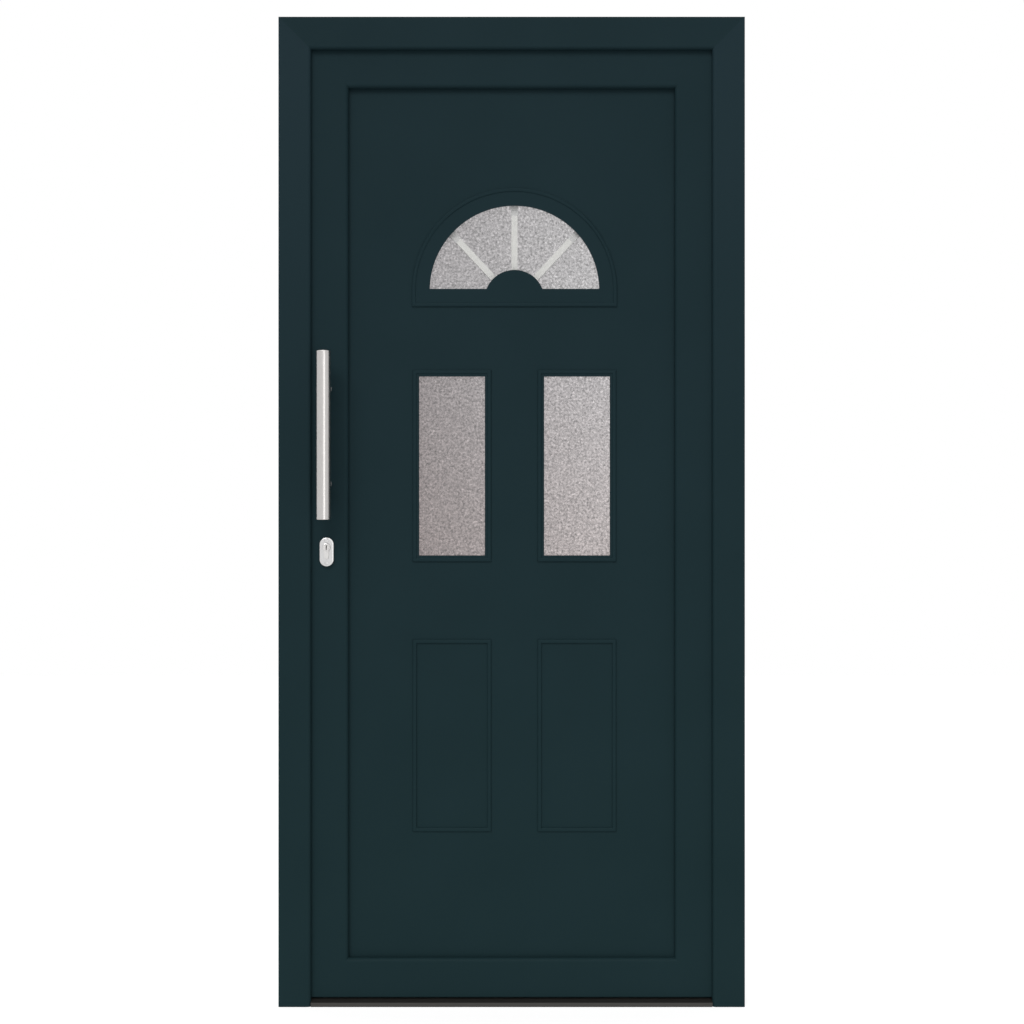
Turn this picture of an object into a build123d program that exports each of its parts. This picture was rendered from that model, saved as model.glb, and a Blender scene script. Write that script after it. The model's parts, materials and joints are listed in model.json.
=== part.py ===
from build123d import *
import os

# A front door with its frame. X runs across the door, Y from the street side
# to the room side and Z up. The origin is on the floor, at the middle of the
# frame's width and depth. Lengths are in millimetres and angles in degrees.

# Directions
TO_RIGHT = Vector(1, 0, 0)
TO_ROOM = Vector(0, 1, 0)
TO_TOP = Vector(0, 0, 1)
ALIGN_TOP = (Align.CENTER, Align.CENTER, Align.MAX)
QUARTER_TURN = 90.0

# General
OVERRUN = 5.0
NEAR = 0.01
SLIDE_CLEARANCE = 0.3
TURN_CLEARANCE = 0.1
POCKET_CLEARANCE = 0.5

# Frame profile, from its outer edge inward
FRAME_WIDTH = 980.0
FRAME_HEIGHT = 2080.0
FRAME_DEPTH = 70.0
FRAME_FACE = 68.0
FRAME_REBATE = 46.0
FRAME_LEG = 10.0
FRAME_ROUND = 6.5
PROFILE_WALL = 3.0
PROFILE_WEB = 2.0
PROFILE_ROUND = 2.5
FRAME_STEEL_WIDTH = 30.0
FRAME_STEEL_DEPTH = 44.0
STEEL_WALL = 2.0

# Wall fixings through the jambs
FIXING_END = 150.0
FIXING_INNER_SPACING = 600.0
FIXING_HOLE_RADIUS = 3.9
FIXING_DRIVE_RADIUS = 6.0

# Sash profile, from its edge inward
SASH_GAP = 12.0
STOP_GAP = 3.0
SASH_DEPTH = 70.0
SASH_FACE = 79.5
SASH_BODY = 62.0
SASH_EDGE_WALL = 8.0
SASH_REBATE_WALL = 4.0
GLAZING_LEG = 11.0
GLAZING_ROUND = 8.0
OVERLAP_LAP = 8.0
OVERLAP_GAP = 3.0
SASH_STEEL_DEPTH = 46.0
SASH_BOTTOM = 15.5
BOTTOM_TRIM = 5.0

# Gaskets and seals
STOP_GASKET_WIDTH = 5.5
STOP_GASKET_SETBACK = 2.0
OVERLAP_GASKET_WIDTH = 5.0
PANEL_GASKET = 3.0
PANEL_GASKET_WIDTH = 8.0
SEAL_WIDTH = 6.0

# Threshold
THRESHOLD_NOSE = 9.0
THRESHOLD_HEIGHT = 12.0
THRESHOLD_RAIL_DEPTH = 40.0
THRESHOLD_WALL = 2.0

# Sandwich panel
PANEL_DEPTH = 28.0
PANEL_SKIN = 2.0
PANEL_EDGE_CLEARANCE = 5.0

# Ornament of the panel. The whole ornament stands a little right of centre.
ORNAMENT_X = 6.0
BEAD_WIDTH = 9.2
BEAD_HEIGHT = 3.4
BEAD_ROUND = 3.2
LIP_HEIGHT = 1.5
FAN_DROP = 571.5
FAN_RADIUS = 217.8
FAN_BASE = 34.8
FAN_RING = 38.3
FAN_ROOM_RING = 32.0
FAN_FLAT = 1.5
HUB_RADIUS = 63.7
HUB_DROP = 20.0
WINDOW_WIDTH = 167.2
WINDOW_HEIGHT_SHARE = 0.4994
WINDOW_RING = 14.0
WINDOW_ROOM_RING = 10.0
WINDOW_SPACING = 264.6
FAN_WINDOW_GAP = 133.3
WINDOW_CASSETTE_GAP = 163.7
CASSETTE_FLOOR = 264.1

# Insulating glass
PANE = 4.0
FAN_GLASS_LAP = 10.0
WINDOW_GLASS_LAP = 8.0
GLASS_CLEARANCE = 2.0
SPACER_WIDTH = 5.0
BAR_WIDTH = 13.0
BAR_DEPTH = 10.0
BAR_ANGLE = 43.0
BAR_END_GAP = 19.0
BAR_HUB_RADIUS = 45.0
CLIP_WIDTH = 15.0

# Pull bar
PULL_BAR_Z = 1198.5
PULL_BAR_LENGTH = 350.0
PULL_BAR_RADIUS = 15.0
PULL_BAR_WALL = 2.0
PULL_BAR_STANDOFF = 55.0
POST_RADIUS = 10.0
POST_SPACING = 200.0
STUD_RADIUS = 4.0
STUD_GRIP = 25.0
STUD_BITE = 26.0
CAP_THICKNESS = 2.5
CAP_PLUG = 8.0
CAP_ROUND = 1.0

# Lock
LOCK_Z = 965.0
BACKSET = 42.5
LOCK_SETBACK = 14.0
LEVER_RISE = 92.0
CASE_THICKNESS = 16.0
CASE_WALL = 1.5
CASE_BELOW = 45.0
CASE_ABOVE = 35.0
FACEPLATE_WIDTH = 20.0
FACEPLATE_THICKNESS = 3.0
FACEPLATE_END = 55.0
FACEPLATE_ROUND_SHARE = 0.8
LATCH_HEIGHT = 28.0
LATCH_DROP = 17.0
LATCH_OUT = 11.0
LATCH_TAIL = 40.0
LATCH_SLANT = 7.0
LATCH_TIP = 3.0
DEADBOLT_HEIGHT = 22.0
DEADBOLT_RISE = 19.0
DEADBOLT_LENGTH = 45.0
DEADBOLT_THROW = 20.0
BOLT_CHAMFER = 1.0

# Profile cylinder
CYLINDER_RADIUS = 8.5
CYLINDER_HEIGHT = 33.0
CYLINDER_STEM = 10.0
CYLINDER_PROUD = 2.0
PLUG_RADIUS = 6.5
CAM_RADIUS = 13.0
CAM_WIDTH = 8.0
CAM_DEPTH = 10.0
KEYWAY_WIDTH = 2.4
KEYWAY_HEIGHT = 9.5
KEYWAY_DEPTH = 28.0
ESCUTCHEON_WIDTH = 31.0
ESCUTCHEON_HEIGHT = 62.0
ESCUTCHEON_THICKNESS = 8.0
ESCUTCHEON_ROUND = 3.0
ESCUTCHEON_DROP = 9.5
ESCUTCHEON_SCREW_SPACING = 47.0
SCREW_HEAD_RADIUS = 3.8
SCREW_HEAD_DEPTH = 3.0
SCREW_SHANK_RADIUS = 1.6

# Hooks above and below the lock, and the rails that drive them
HOOK_TOP_END = 297.0
HOOK_FOOT_END = 219.5
HOOK_PIVOT = 14.0
HOOK_REACH = 30.0
HOOK_WIDTH = 12.0
HOOK_THICKNESS = 8.0
HOOK_CLAW = 6.0
HOOK_PIN_RADIUS = 4.0
HOOK_BOX_DEPTH = 27.0
RAIL_WIDTH = 8.0
RAIL_THICKNESS = 2.0
RAIL_TRAVEL = 18.0

# Strikes
STRIKE_THICKNESS = 8.0
STRIKE_WIDTH = 22.0
STRIKE_MARGIN = 26.0
STRIKE_ROUND = 3.0

# Inside lever
LEVER_PLATE_WIDTH = 32.0
LEVER_PLATE_HEIGHT = 240.0
LEVER_PLATE_THICKNESS = 9.0
LEVER_PLATE_ROUND = 2.5
LEVER_RADIUS = 9.5
LEVER_STANDOFF = 56.0
LEVER_LENGTH = 130.0
LEVER_BEND = 22.0
LEVER_TIP_ROUND = 6.0
LEVER_ROOT = 1.0
SPINDLE_SIDE = 8.0
SPINDLE_SOCKET = 24.0
SPINDLE_HOLE_RADIUS = 7.0

# Hinges
HINGE_HEIGHT = 100.0
HINGE_END = 230.0
HINGE_SIDE = 12.0
HINGE_STANDOFF = 6.0
KNUCKLE_RADIUS = 9.0
HINGE_PIN_RADIUS = 5.0
HINGE_CAP_HEIGHT = 3.0
FRAME_KNUCKLE = 40.0
KNUCKLE_GAP = 0.5
LEAF_THICKNESS = 5.0
LEAF_ROUND = 2.0
FRAME_LEAF_EDGE = 3.0
SASH_LEAF_WIDTH = 43.0
LEAF_SETBACK = 2.0
HINGE_ARM = 10.0
NECK_SHARE = 0.7

# Planes in depth, worked out from the sizes above
STREET_Y = -FRAME_DEPTH / 2
LEG_Y = STREET_Y + FRAME_LEG
FRAME_BACK_Y = FRAME_DEPTH / 2
SASH_Y = LEG_Y + STOP_GAP
SASH_BACK_Y = SASH_Y + SASH_DEPTH
OVERLAP_Y = FRAME_BACK_Y + OVERLAP_GAP
GLAZING_Y = SASH_Y + GLAZING_LEG
PANEL_Y = GLAZING_Y + PANEL_GASKET
PANEL_BACK_Y = PANEL_Y + PANEL_DEPTH
GLAZING_BEAD_Y = PANEL_BACK_Y + PANEL_GASKET
LOCK_Y = OVERLAP_Y - LOCK_SETBACK

# Lines across the width and up the height
HALF_WIDTH = FRAME_WIDTH / 2
REBATE_X = HALF_WIDTH - FRAME_REBATE
SASH_X = REBATE_X - SASH_GAP
SASH_LOW = SASH_BOTTOM - BOTTOM_TRIM
SASH_TOP = FRAME_HEIGHT - FRAME_REBATE - SASH_GAP
OVERLAP = SASH_GAP + OVERLAP_LAP
PANEL_EDGE = SASH_BODY + PANEL_EDGE_CLEARANCE
GLAZING_EDGE = SASH_FACE + GLAZING_ROUND
LOCK_EDGE_X = -SASH_X
LOCK_AXIS_X = LOCK_EDGE_X + BACKSET
LEVER_Z = LOCK_Z + LEVER_RISE
CASE_END_X = LOCK_AXIS_X + CAM_RADIUS + SLIDE_CLEARANCE + CASE_WALL
CASE_BOTTOM = LOCK_Z - CASE_BELOW
CASE_TOP = LEVER_Z + CASE_ABOVE
BOLT_THICKNESS = CASE_THICKNESS - 2 * (CASE_WALL + POCKET_CLEARANCE)
LATCH_Z = LEVER_Z - LATCH_DROP - LATCH_HEIGHT / 2
DEADBOLT_Z = LOCK_Z + DEADBOLT_RISE + DEADBOLT_HEIGHT / 2
HOOK_HEIGHTS = {"upper": SASH_TOP - HOOK_TOP_END, "lower": SASH_BOTTOM + HOOK_FOOT_END}
FAN_Z = FRAME_HEIGHT - FAN_DROP
FAN_LOW = FAN_Z - FAN_BASE
HUB_Z = FAN_Z - HUB_DROP
CASSETTE_LOW = SASH_LOW + GLAZING_EDGE + CASSETTE_FLOOR
FIELDS_HEIGHT = FAN_LOW - FAN_WINDOW_GAP - WINDOW_CASSETTE_GAP - CASSETTE_LOW
WINDOW_HEIGHT = FIELDS_HEIGHT * WINDOW_HEIGHT_SHARE
CASSETTE_HEIGHT = FIELDS_HEIGHT - WINDOW_HEIGHT
WINDOW_Z = FAN_LOW - FAN_WINDOW_GAP - WINDOW_HEIGHT / 2
CASSETTE_Z = CASSETTE_LOW + CASSETTE_HEIGHT / 2
COLUMNS = (ORNAMENT_X - WINDOW_SPACING / 2, ORNAMENT_X + WINDOW_SPACING / 2)
HINGE_X = REBATE_X + OVERLAP_LAP + HINGE_SIDE
HINGE_Y = SASH_BACK_Y + HINGE_STANDOFF
HINGE_HEIGHTS = (HINGE_END, FRAME_HEIGHT / 2, FRAME_HEIGHT - HINGE_END)

# Chambers that take the steels, across the profile and in depth
FRAME_STEEL = (
    FRAME_REBATE - PROFILE_WALL - FRAME_STEEL_WIDTH,
    FRAME_REBATE - PROFILE_WALL,
    LEG_Y - PROFILE_WALL + PROFILE_WEB,
    LEG_Y - PROFILE_WALL + PROFILE_WEB + FRAME_STEEL_DEPTH,
)
SASH_STEEL_Y = GLAZING_Y - PROFILE_WALL + PROFILE_WEB
SASH_STEEL = (
    SASH_EDGE_WALL,
    SASH_BODY - SASH_REBATE_WALL,
    SASH_STEEL_Y,
    SASH_STEEL_Y + SASH_STEEL_DEPTH,
)


def rectangle(x0, x1, y0, y1):
    """A rectangle between two corners of the sketch plane."""
    return Pos((x0 + x1) / 2, (y0 + y1) / 2) * Rectangle(x1 - x0, y1 - y0)


def block(x0, x1, y0, y1, z0, z1):
    """A box between two corners."""
    return Pos((x0 + x1) / 2, (y0 + y1) / 2, (z0 + z1) / 2) * Box(x1 - x0, y1 - y0, z1 - z0)


def rod(radius, x, z, y0, y1):
    """A round bar that runs from the street side towards the room."""
    return extrude(facade(y1) * Pos(x, z) * Circle(radius), amount=y1 - y0)


def upright(radius, x, y, z0, z1):
    """A round bar that stands upright."""
    return extrude(Pos(x, y, z0) * Circle(radius), amount=z1 - z0)


def facade(y):
    """An upright plane across the door, seen from the street, with X across and Z up."""
    return Plane((0, y, 0), x_dir=TO_RIGHT, z_dir=-TO_ROOM)


def slab(sketch, front, back):
    """A sketch of the facade, as thick as the way from front to back."""
    return extrude(facade(back) * sketch, amount=back - front)


def front_edges(solid, y):
    """The edges that lie in one upright plane across the door."""
    return solid.edges().filter_by_position(Axis.Y, y - NEAR, y + NEAR)


def ring_sides(half_width, low, high):
    """The four sides of an upright rectangle: x runs inward, y to the room and z along the side."""
    return {
        "left": Plane((-half_width, 0, low), x_dir=TO_RIGHT, z_dir=TO_TOP),
        "top": Plane((-half_width, 0, high), x_dir=-TO_TOP, z_dir=TO_RIGHT),
        "right": Plane((half_width, 0, high), x_dir=-TO_RIGHT, z_dir=-TO_TOP),
        "bottom": Plane((half_width, 0, low), x_dir=TO_TOP, z_dir=-TO_RIGHT),
    }


def mitred_bar(section, length, square_start=False, square_end=False):
    """A profile along z whose ends are mitred towards the inner side, or cut square."""
    box = section.bounding_box()
    low = box.min.X
    high = box.max.X
    start = min(low, 0)
    bar = extrude(Pos(0, 0, start) * section, amount=length - 2 * start)
    first = (0, 0) if square_start else (low, high)
    last = (length, length) if square_end else (length - low, length - high)
    corners = [(low, first[0]), (high, first[1]), (high, last[1]), (low, last[0])]
    keep = make_face(Polyline(*corners, close=True))
    reach = max(abs(box.min.Y), abs(box.max.Y)) + OVERRUN
    return bar & extrude(Plane.XZ * keep, amount=reach, both=True)


def vertices_at(outline, corners):
    """The outline's vertices that sit at the given corners."""
    return [
        vertex
        for vertex in outline.vertices()
        if any((Vector(vertex) - Vector(*corner, 0)).length < NEAR for corner in corners)
    ]


def profile(corners, chambers, sharp, rounding):
    """A hollow profile: an outline less its chambers. Some corners stay sharp, and some are rounder."""
    outline = make_face(Polyline(*corners, close=True))
    radii = {number: PROFILE_ROUND for number in range(len(corners)) if number not in sharp} | rounding
    for radius in set(radii.values()):
        alike = [corners[number] for number in radii if radii[number] == radius]
        outline = fillet(vertices_at(outline, alike), radius)
    for chamber in chambers:
        outline -= rectangle(*chamber)
    return outline


def tube_section(x0, x1, y0, y1):
    """A rectangular steel tube that slides into a chamber."""
    outer = rectangle(
        x0 + SLIDE_CLEARANCE, x1 - SLIDE_CLEARANCE, y0 + SLIDE_CLEARANCE, y1 - SLIDE_CLEARANCE
    )
    wall = SLIDE_CLEARANCE + STEEL_WALL
    return outer - rectangle(x0 + wall, x1 - wall, y0 + wall, y1 - wall)


# Frame

def frame_section():
    """The frame's profile: a face, a stop leg, a rebate and four chambers."""
    x0, x1, y0, y1 = FRAME_STEEL
    corners = [
        (0, STREET_Y),
        (FRAME_FACE, STREET_Y),
        (FRAME_FACE, LEG_Y),
        (FRAME_REBATE, LEG_Y),
        (FRAME_REBATE, FRAME_BACK_Y),
        (0, FRAME_BACK_Y),
    ]
    face_end = FRAME_FACE - FRAME_ROUND - PROFILE_WALL
    side_end = x0 - PROFILE_WEB
    back = FRAME_BACK_Y - PROFILE_WALL
    chambers = [
        (PROFILE_WALL, face_end, STREET_Y + PROFILE_WALL, LEG_Y - PROFILE_WALL),
        FRAME_STEEL,
        (x0, x1, y1 + PROFILE_WEB, back),
        (PROFILE_WALL, side_end, y0, back),
    ]
    return profile(corners, chambers, sharp=[3], rounding={1: FRAME_ROUND})


def frame_sides():
    return ring_sides(HALF_WIDTH, 0, FRAME_HEIGHT)


def bolt_pockets():
    """The room that the deadbolt and the hooks need in the lock jamb."""
    deep = DEADBOLT_THROW + POCKET_CLEARANCE
    half = BOLT_THICKNESS / 2 + POCKET_CLEARANCE
    y0 = LOCK_Y - half
    y1 = LOCK_Y + half
    x0 = LOCK_EDGE_X - deep
    x1 = -REBATE_X + OVERRUN
    tall = DEADBOLT_HEIGHT / 2 + POCKET_CLEARANCE
    pockets = [block(x0, x1, y0, y1, DEADBOLT_Z - tall, DEADBOLT_Z + tall)]
    for z in HOOK_HEIGHTS.values():
        pockets.append(block(x0, x1, y0, y1, z - HOOK_WIDTH, z + HOOK_REACH))
    return pockets


def fixing_holes(side):
    """Wall screws through a jamb: a wide way for the driver and a close hole at the wall."""
    plane = Plane((0, (LEG_Y + FRAME_BACK_Y) / 2, 0), x_dir=-TO_ROOM, z_dir=TO_RIGHT * side)
    middle = FRAME_HEIGHT / 2
    end = middle - FIXING_END
    inner = FIXING_INNER_SPACING / 2
    wall_x = HALF_WIDTH - PROFILE_WALL - OVERRUN
    holes = []
    for z in (middle - end, middle - inner, middle + inner, middle + end):
        place = Pos(0, 0, z)
        for radius, x0, x1 in (
            (FIXING_DRIVE_RADIUS, REBATE_X - OVERRUN, wall_x),
            (FIXING_HOLE_RADIUS, wall_x - OVERRUN, HALF_WIDTH + OVERRUN),
        ):
            holes.append(place * extrude(plane.offset(x0) * Circle(radius), amount=x1 - x0))
    return holes


def make_frame():
    section = frame_section()
    tube = tube_section(*FRAME_STEEL)
    sides = frame_sides()
    steel_start = FRAME_REBATE
    jamb = mitred_bar(section, FRAME_HEIGHT, square_start=True)
    jamb_steel = extrude(tube, amount=FRAME_HEIGHT - steel_start)
    turned_jamb = mitred_bar(section, FRAME_HEIGHT, square_end=True)
    turned_steel = extrude(Pos(0, 0, steel_start) * tube, amount=FRAME_HEIGHT - steel_start)
    left_cuts = fixing_holes(-1) + bolt_pockets()
    right_cuts = fixing_holes(1)
    head = mitred_bar(section, FRAME_WIDTH)
    head_steel = extrude(Pos(0, 0, steel_start) * tube, amount=FRAME_WIDTH - 2 * steel_start)
    return {
        "frame_jamb_left": sides["left"] * jamb - left_cuts,
        "frame_jamb_right": sides["right"] * turned_jamb - right_cuts,
        "frame_head": sides["top"] * head,
        "frame_steels": [
            sides["left"] * jamb_steel - left_cuts,
            sides["right"] * turned_steel - right_cuts,
            sides["top"] * head_steel,
        ],
        "frame_gasket": stop_gasket(sides),
    }


def stop_gasket(sides):
    """A lip seal on the leg's room side, round the jambs and the head."""
    x1 = FRAME_FACE - STOP_GASKET_SETBACK
    section = rectangle(x1 - STOP_GASKET_WIDTH, x1, LEG_Y, SASH_Y - SLIDE_CLEARANCE)
    left = sides["left"] * mitred_bar(section, FRAME_HEIGHT, square_start=True)
    right = sides["right"] * mitred_bar(section, FRAME_HEIGHT, square_end=True)
    gasket = left + right + sides["top"] * mitred_bar(section, FRAME_WIDTH)
    return gasket - block(-HALF_WIDTH, HALF_WIDTH, LEG_Y, SASH_Y, -OVERRUN, THRESHOLD_HEIGHT)


def along_width(section, half_length):
    """A section drawn in Y and Z, run across the door to both sides."""
    plane = Plane((-half_length, 0, 0), x_dir=TO_ROOM, z_dir=TO_RIGHT)
    return extrude(plane * section, amount=2 * half_length)


def make_threshold():
    """A low aluminium rail with a sloped top, and a plastic base behind it."""
    split = STREET_Y + THRESHOLD_RAIL_DEPTH
    corners = [
        (STREET_Y, 0),
        (split, 0),
        (split, THRESHOLD_HEIGHT),
        (SASH_Y, THRESHOLD_HEIGHT),
        (STREET_Y, THRESHOLD_NOSE),
    ]
    wall = THRESHOLD_WALL
    ceiling = THRESHOLD_NOSE - wall
    middle = (STREET_Y + split) / 2
    rail = make_face(Polyline(*corners, close=True))
    rail -= rectangle(STREET_Y + wall, middle - wall / 2, wall, ceiling)
    rail -= rectangle(middle + wall / 2, split - wall, wall, ceiling)
    base = rectangle(split, FRAME_BACK_Y, 0, THRESHOLD_HEIGHT)
    base -= rectangle(split + wall, FRAME_BACK_Y - wall, wall, THRESHOLD_HEIGHT - wall)
    bar = along_width(rail, REBATE_X)
    leg_x = HALF_WIDTH - FRAME_FACE
    for side in (-1, 1):
        notch = block(leg_x, REBATE_X + OVERRUN, STREET_Y - OVERRUN, LEG_Y, -OVERRUN, FRAME_FACE)
        bar -= notch if side > 0 else mirror(notch, about=Plane.YZ)
    return {"threshold_rail": bar, "threshold_base": along_width(base, REBATE_X)}


def make_strikes():
    """Strike plates on the lock jamb's rebate floor, open for the bolts."""
    y0 = LOCK_Y - STRIKE_WIDTH / 2
    y1 = LOCK_Y + STRIKE_WIDTH / 2
    x0 = -REBATE_X
    x1 = x0 + STRIKE_THICKNESS
    half = BOLT_THICKNESS / 2 + POCKET_CLEARANCE
    window_y = (LOCK_Y - half, LOCK_Y + half)
    latch = LATCH_HEIGHT / 2 + POCKET_CLEARANCE
    bolt = DEADBOLT_HEIGHT / 2 + POCKET_CLEARANCE
    spans = {
        "strike_plate_centre": [
            (DEADBOLT_Z - bolt, DEADBOLT_Z + bolt),
            (LATCH_Z - latch, LATCH_Z + latch),
        ]
    }
    for name, z in HOOK_HEIGHTS.items():
        spans["strike_plate_" + name] = [(z - HOOK_WIDTH, z + HOOK_REACH + POCKET_CLEARANCE)]
    plates = {}
    for name, windows in spans.items():
        low = windows[0][0] - STRIKE_MARGIN
        high = windows[-1][1] + STRIKE_MARGIN
        plate = block(x0, x1, y0, y1, low, high)
        plate = fillet(plate.edges().filter_by(Axis.X), STRIKE_ROUND)
        for z0, z1 in windows:
            plate -= block(x0 - OVERRUN, x1 + OVERRUN, *window_y, z0, z1)
        plates[name] = plate
    return plates


# Sash

def sash_section(edge, overlap):
    """The sash's profile: body, glazing leg and, except at the bottom, the overlap on the frame."""
    back = SASH_BACK_Y - PROFILE_WALL
    x0, x1, y0, y1 = SASH_STEEL
    corners = [
        (edge, SASH_Y),
        (GLAZING_EDGE, SASH_Y),
        (GLAZING_EDGE, GLAZING_Y),
        (SASH_BODY, GLAZING_Y),
        (SASH_BODY, SASH_BACK_Y),
    ]
    chambers = [
        (edge + PROFILE_WALL, SASH_FACE - PROFILE_WALL, SASH_Y + PROFILE_WALL, GLAZING_Y - PROFILE_WALL),
        SASH_STEEL,
        (x0, x1, y1 + PROFILE_WEB, back),
    ]
    if overlap:
        corners += [(-OVERLAP, SASH_BACK_Y), (-OVERLAP, OVERLAP_Y), (edge, OVERLAP_Y)]
        chambers.append((PROFILE_WALL - OVERLAP, x0 - PROFILE_WALL, OVERLAP_Y + PROFILE_WALL, back))
        return profile(corners, chambers, sharp=[3, 7], rounding={1: GLAZING_ROUND})
    corners.append((edge, SASH_BACK_Y))
    return profile(corners, chambers, sharp=[3], rounding={1: GLAZING_ROUND})


def sash_sides():
    return ring_sides(SASH_X, SASH_LOW, SASH_TOP)


def cylinder_profile(clearance):
    """The outline of a profile cylinder, round above with a narrower stem below."""
    foot = CYLINDER_HEIGHT - CYLINDER_RADIUS - CYLINDER_STEM / 2
    half = CYLINDER_STEM / 2 + clearance
    outline = Circle(CYLINDER_RADIUS + clearance)
    outline += rectangle(-half, half, -foot, 0)
    outline += Pos(0, -foot) * Circle(half)
    return Pos(LOCK_AXIS_X, LOCK_Z) * outline


def post_heights():
    return (PULL_BAR_Z - POST_SPACING / 2, PULL_BAR_Z + POST_SPACING / 2)


def hook_box_span(z):
    """How far a hook box runs below and above its pivot."""
    return (z - HOOK_WIDTH, z + HOOK_REACH + HOOK_WIDTH)


def lock_cuts():
    """What is milled and drilled out of the lock stile and its steel."""
    half = CASE_THICKNESS / 2 + SLIDE_CLEARANCE
    y0 = LOCK_Y - half
    y1 = LOCK_Y + half
    x0 = LOCK_EDGE_X - OVERRUN
    x1 = CASE_END_X + SLIDE_CLEARANCE
    cuts = [
        block(x0, x1, y0, y1, CASE_BOTTOM - SLIDE_CLEARANCE, CASE_TOP + SLIDE_CLEARANCE),
        slab(cylinder_profile(POCKET_CLEARANCE), SASH_Y - OVERRUN, SASH_BACK_Y + OVERRUN),
        rod(SPINDLE_HOLE_RADIUS, LOCK_AXIS_X, LEVER_Z, LOCK_Y, SASH_BACK_Y + OVERRUN),
    ]
    face = FACEPLATE_WIDTH / 2 + SLIDE_CLEARANCE
    groove_x = LOCK_EDGE_X + FACEPLATE_THICKNESS
    low, high = faceplate_span()
    cuts.append(
        block(x0, groove_x, LOCK_Y - face, LOCK_Y + face, low - SLIDE_CLEARANCE, high + SLIDE_CLEARANCE)
    )
    rail = RAIL_WIDTH / 2 + SLIDE_CLEARANCE
    rail_x = groove_x + RAIL_THICKNESS + 2 * SLIDE_CLEARANCE
    span = rail_room()
    cuts.append(block(x0, rail_x, LOCK_Y - rail, LOCK_Y + rail, span[0], span[1]))
    box_x = groove_x + HOOK_BOX_DEPTH + SLIDE_CLEARANCE
    for z in HOOK_HEIGHTS.values():
        z0, z1 = hook_box_span(z)
        cuts.append(block(x0, box_x, y0, y1, z0 - SLIDE_CLEARANCE, z1 + SLIDE_CLEARANCE))
    for z in post_heights():
        cuts.append(rod(STUD_RADIUS + POCKET_CLEARANCE, LOCK_AXIS_X, z, SASH_Y - OVERRUN, LOCK_Y))
    return cuts


def faceplate_span():
    return (SASH_BOTTOM + FACEPLATE_END, SASH_TOP - FACEPLATE_END)


def rail_room():
    """The stretch behind the faceplate in which the drive rails slide."""
    return (hook_box_span(HOOK_HEIGHTS["lower"])[1], hook_box_span(HOOK_HEIGHTS["upper"])[0])


def make_sash():
    side = sash_section(0, overlap=True)
    foot = sash_section(BOTTOM_TRIM, overlap=False)
    tube = tube_section(*SASH_STEEL)
    sides = sash_sides()
    height = SASH_TOP - SASH_LOW
    width = 2 * SASH_X
    trim = block(-HALF_WIDTH, HALF_WIDTH, SASH_Y - OVERRUN, SASH_BACK_Y + OVERRUN, -OVERLAP, SASH_BOTTOM)
    stile = mitred_bar(side, height)
    cuts = lock_cuts()
    start = SASH_BODY
    stile_steel = extrude(Pos(0, 0, start) * tube, amount=height - 2 * start)
    rail_steel = extrude(Pos(0, 0, start) * tube, amount=width - 2 * start)
    return {
        "sash_lock_stile": sides["left"] * stile - trim - cuts,
        "sash_hinge_stile": sides["right"] * stile - trim,
        "sash_top_rail": sides["top"] * mitred_bar(side, width),
        "sash_bottom_rail": sides["bottom"] * mitred_bar(foot, width),
        "sash_steels": [
            sides["left"] * stile_steel - cuts,
            sides["right"] * stile_steel,
            sides["top"] * rail_steel,
            sides["bottom"] * rail_steel,
        ],
        "sash_gasket": overlap_gasket(),
        "bottom_seal": bottom_seal(),
    }


def overlap_gasket():
    """A seal on the overlap that presses on the frame's room side."""
    x0 = -OVERLAP + (OVERLAP_LAP - OVERLAP_GASKET_WIDTH) / 2
    section = rectangle(x0, x0 + OVERLAP_GASKET_WIDTH, FRAME_BACK_Y + SLIDE_CLEARANCE, OVERLAP_Y)
    sides = sash_sides()
    stile = mitred_bar(section, SASH_TOP - SASH_LOW)
    gasket = sides["left"] * stile + sides["right"] * stile
    gasket += sides["top"] * mitred_bar(section, 2 * SASH_X)
    return gasket - block(-HALF_WIDTH, HALF_WIDTH, FRAME_BACK_Y, OVERLAP_Y, -OVERLAP, SASH_BOTTOM)


def bottom_seal():
    """A strip under the bottom rail that wipes the threshold."""
    y0 = GLAZING_Y
    section = rectangle(y0, y0 + SEAL_WIDTH, THRESHOLD_HEIGHT + SLIDE_CLEARANCE, SASH_BOTTOM)
    return along_width(section, SASH_X - BOTTOM_TRIM)


# Panel and its ornament

def fan_outline(inset):
    """A half-round arch on short straight sides, drawn in by an inset."""
    radius = FAN_RADIUS - inset
    arch = Pos(ORNAMENT_X, FAN_Z) * Circle(radius)
    arch += rectangle(ORNAMENT_X - radius, ORNAMENT_X + radius, FAN_LOW, FAN_Z)
    floor = FAN_LOW + inset
    above = rectangle(ORNAMENT_X - radius, ORNAMENT_X + radius, floor, floor + 2 * FAN_RADIUS)
    return arch & above


def window_outline(x, inset):
    return Pos(x, WINDOW_Z) * Rectangle(WINDOW_WIDTH - 2 * inset, WINDOW_HEIGHT - 2 * inset)


def cassette_outline(x, inset):
    return Pos(x, CASSETTE_Z) * Rectangle(WINDOW_WIDTH - 2 * inset, CASSETTE_HEIGHT - 2 * inset)


def cutouts():
    """The openings in the panel, a little larger than the glass in them."""
    holes = fan_outline(FAN_RING - FAN_GLASS_LAP - GLASS_CLEARANCE)
    for x in COLUMNS:
        holes += window_outline(x, WINDOW_RING - WINDOW_GLASS_LAP - GLASS_CLEARANCE)
    return holes


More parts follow.
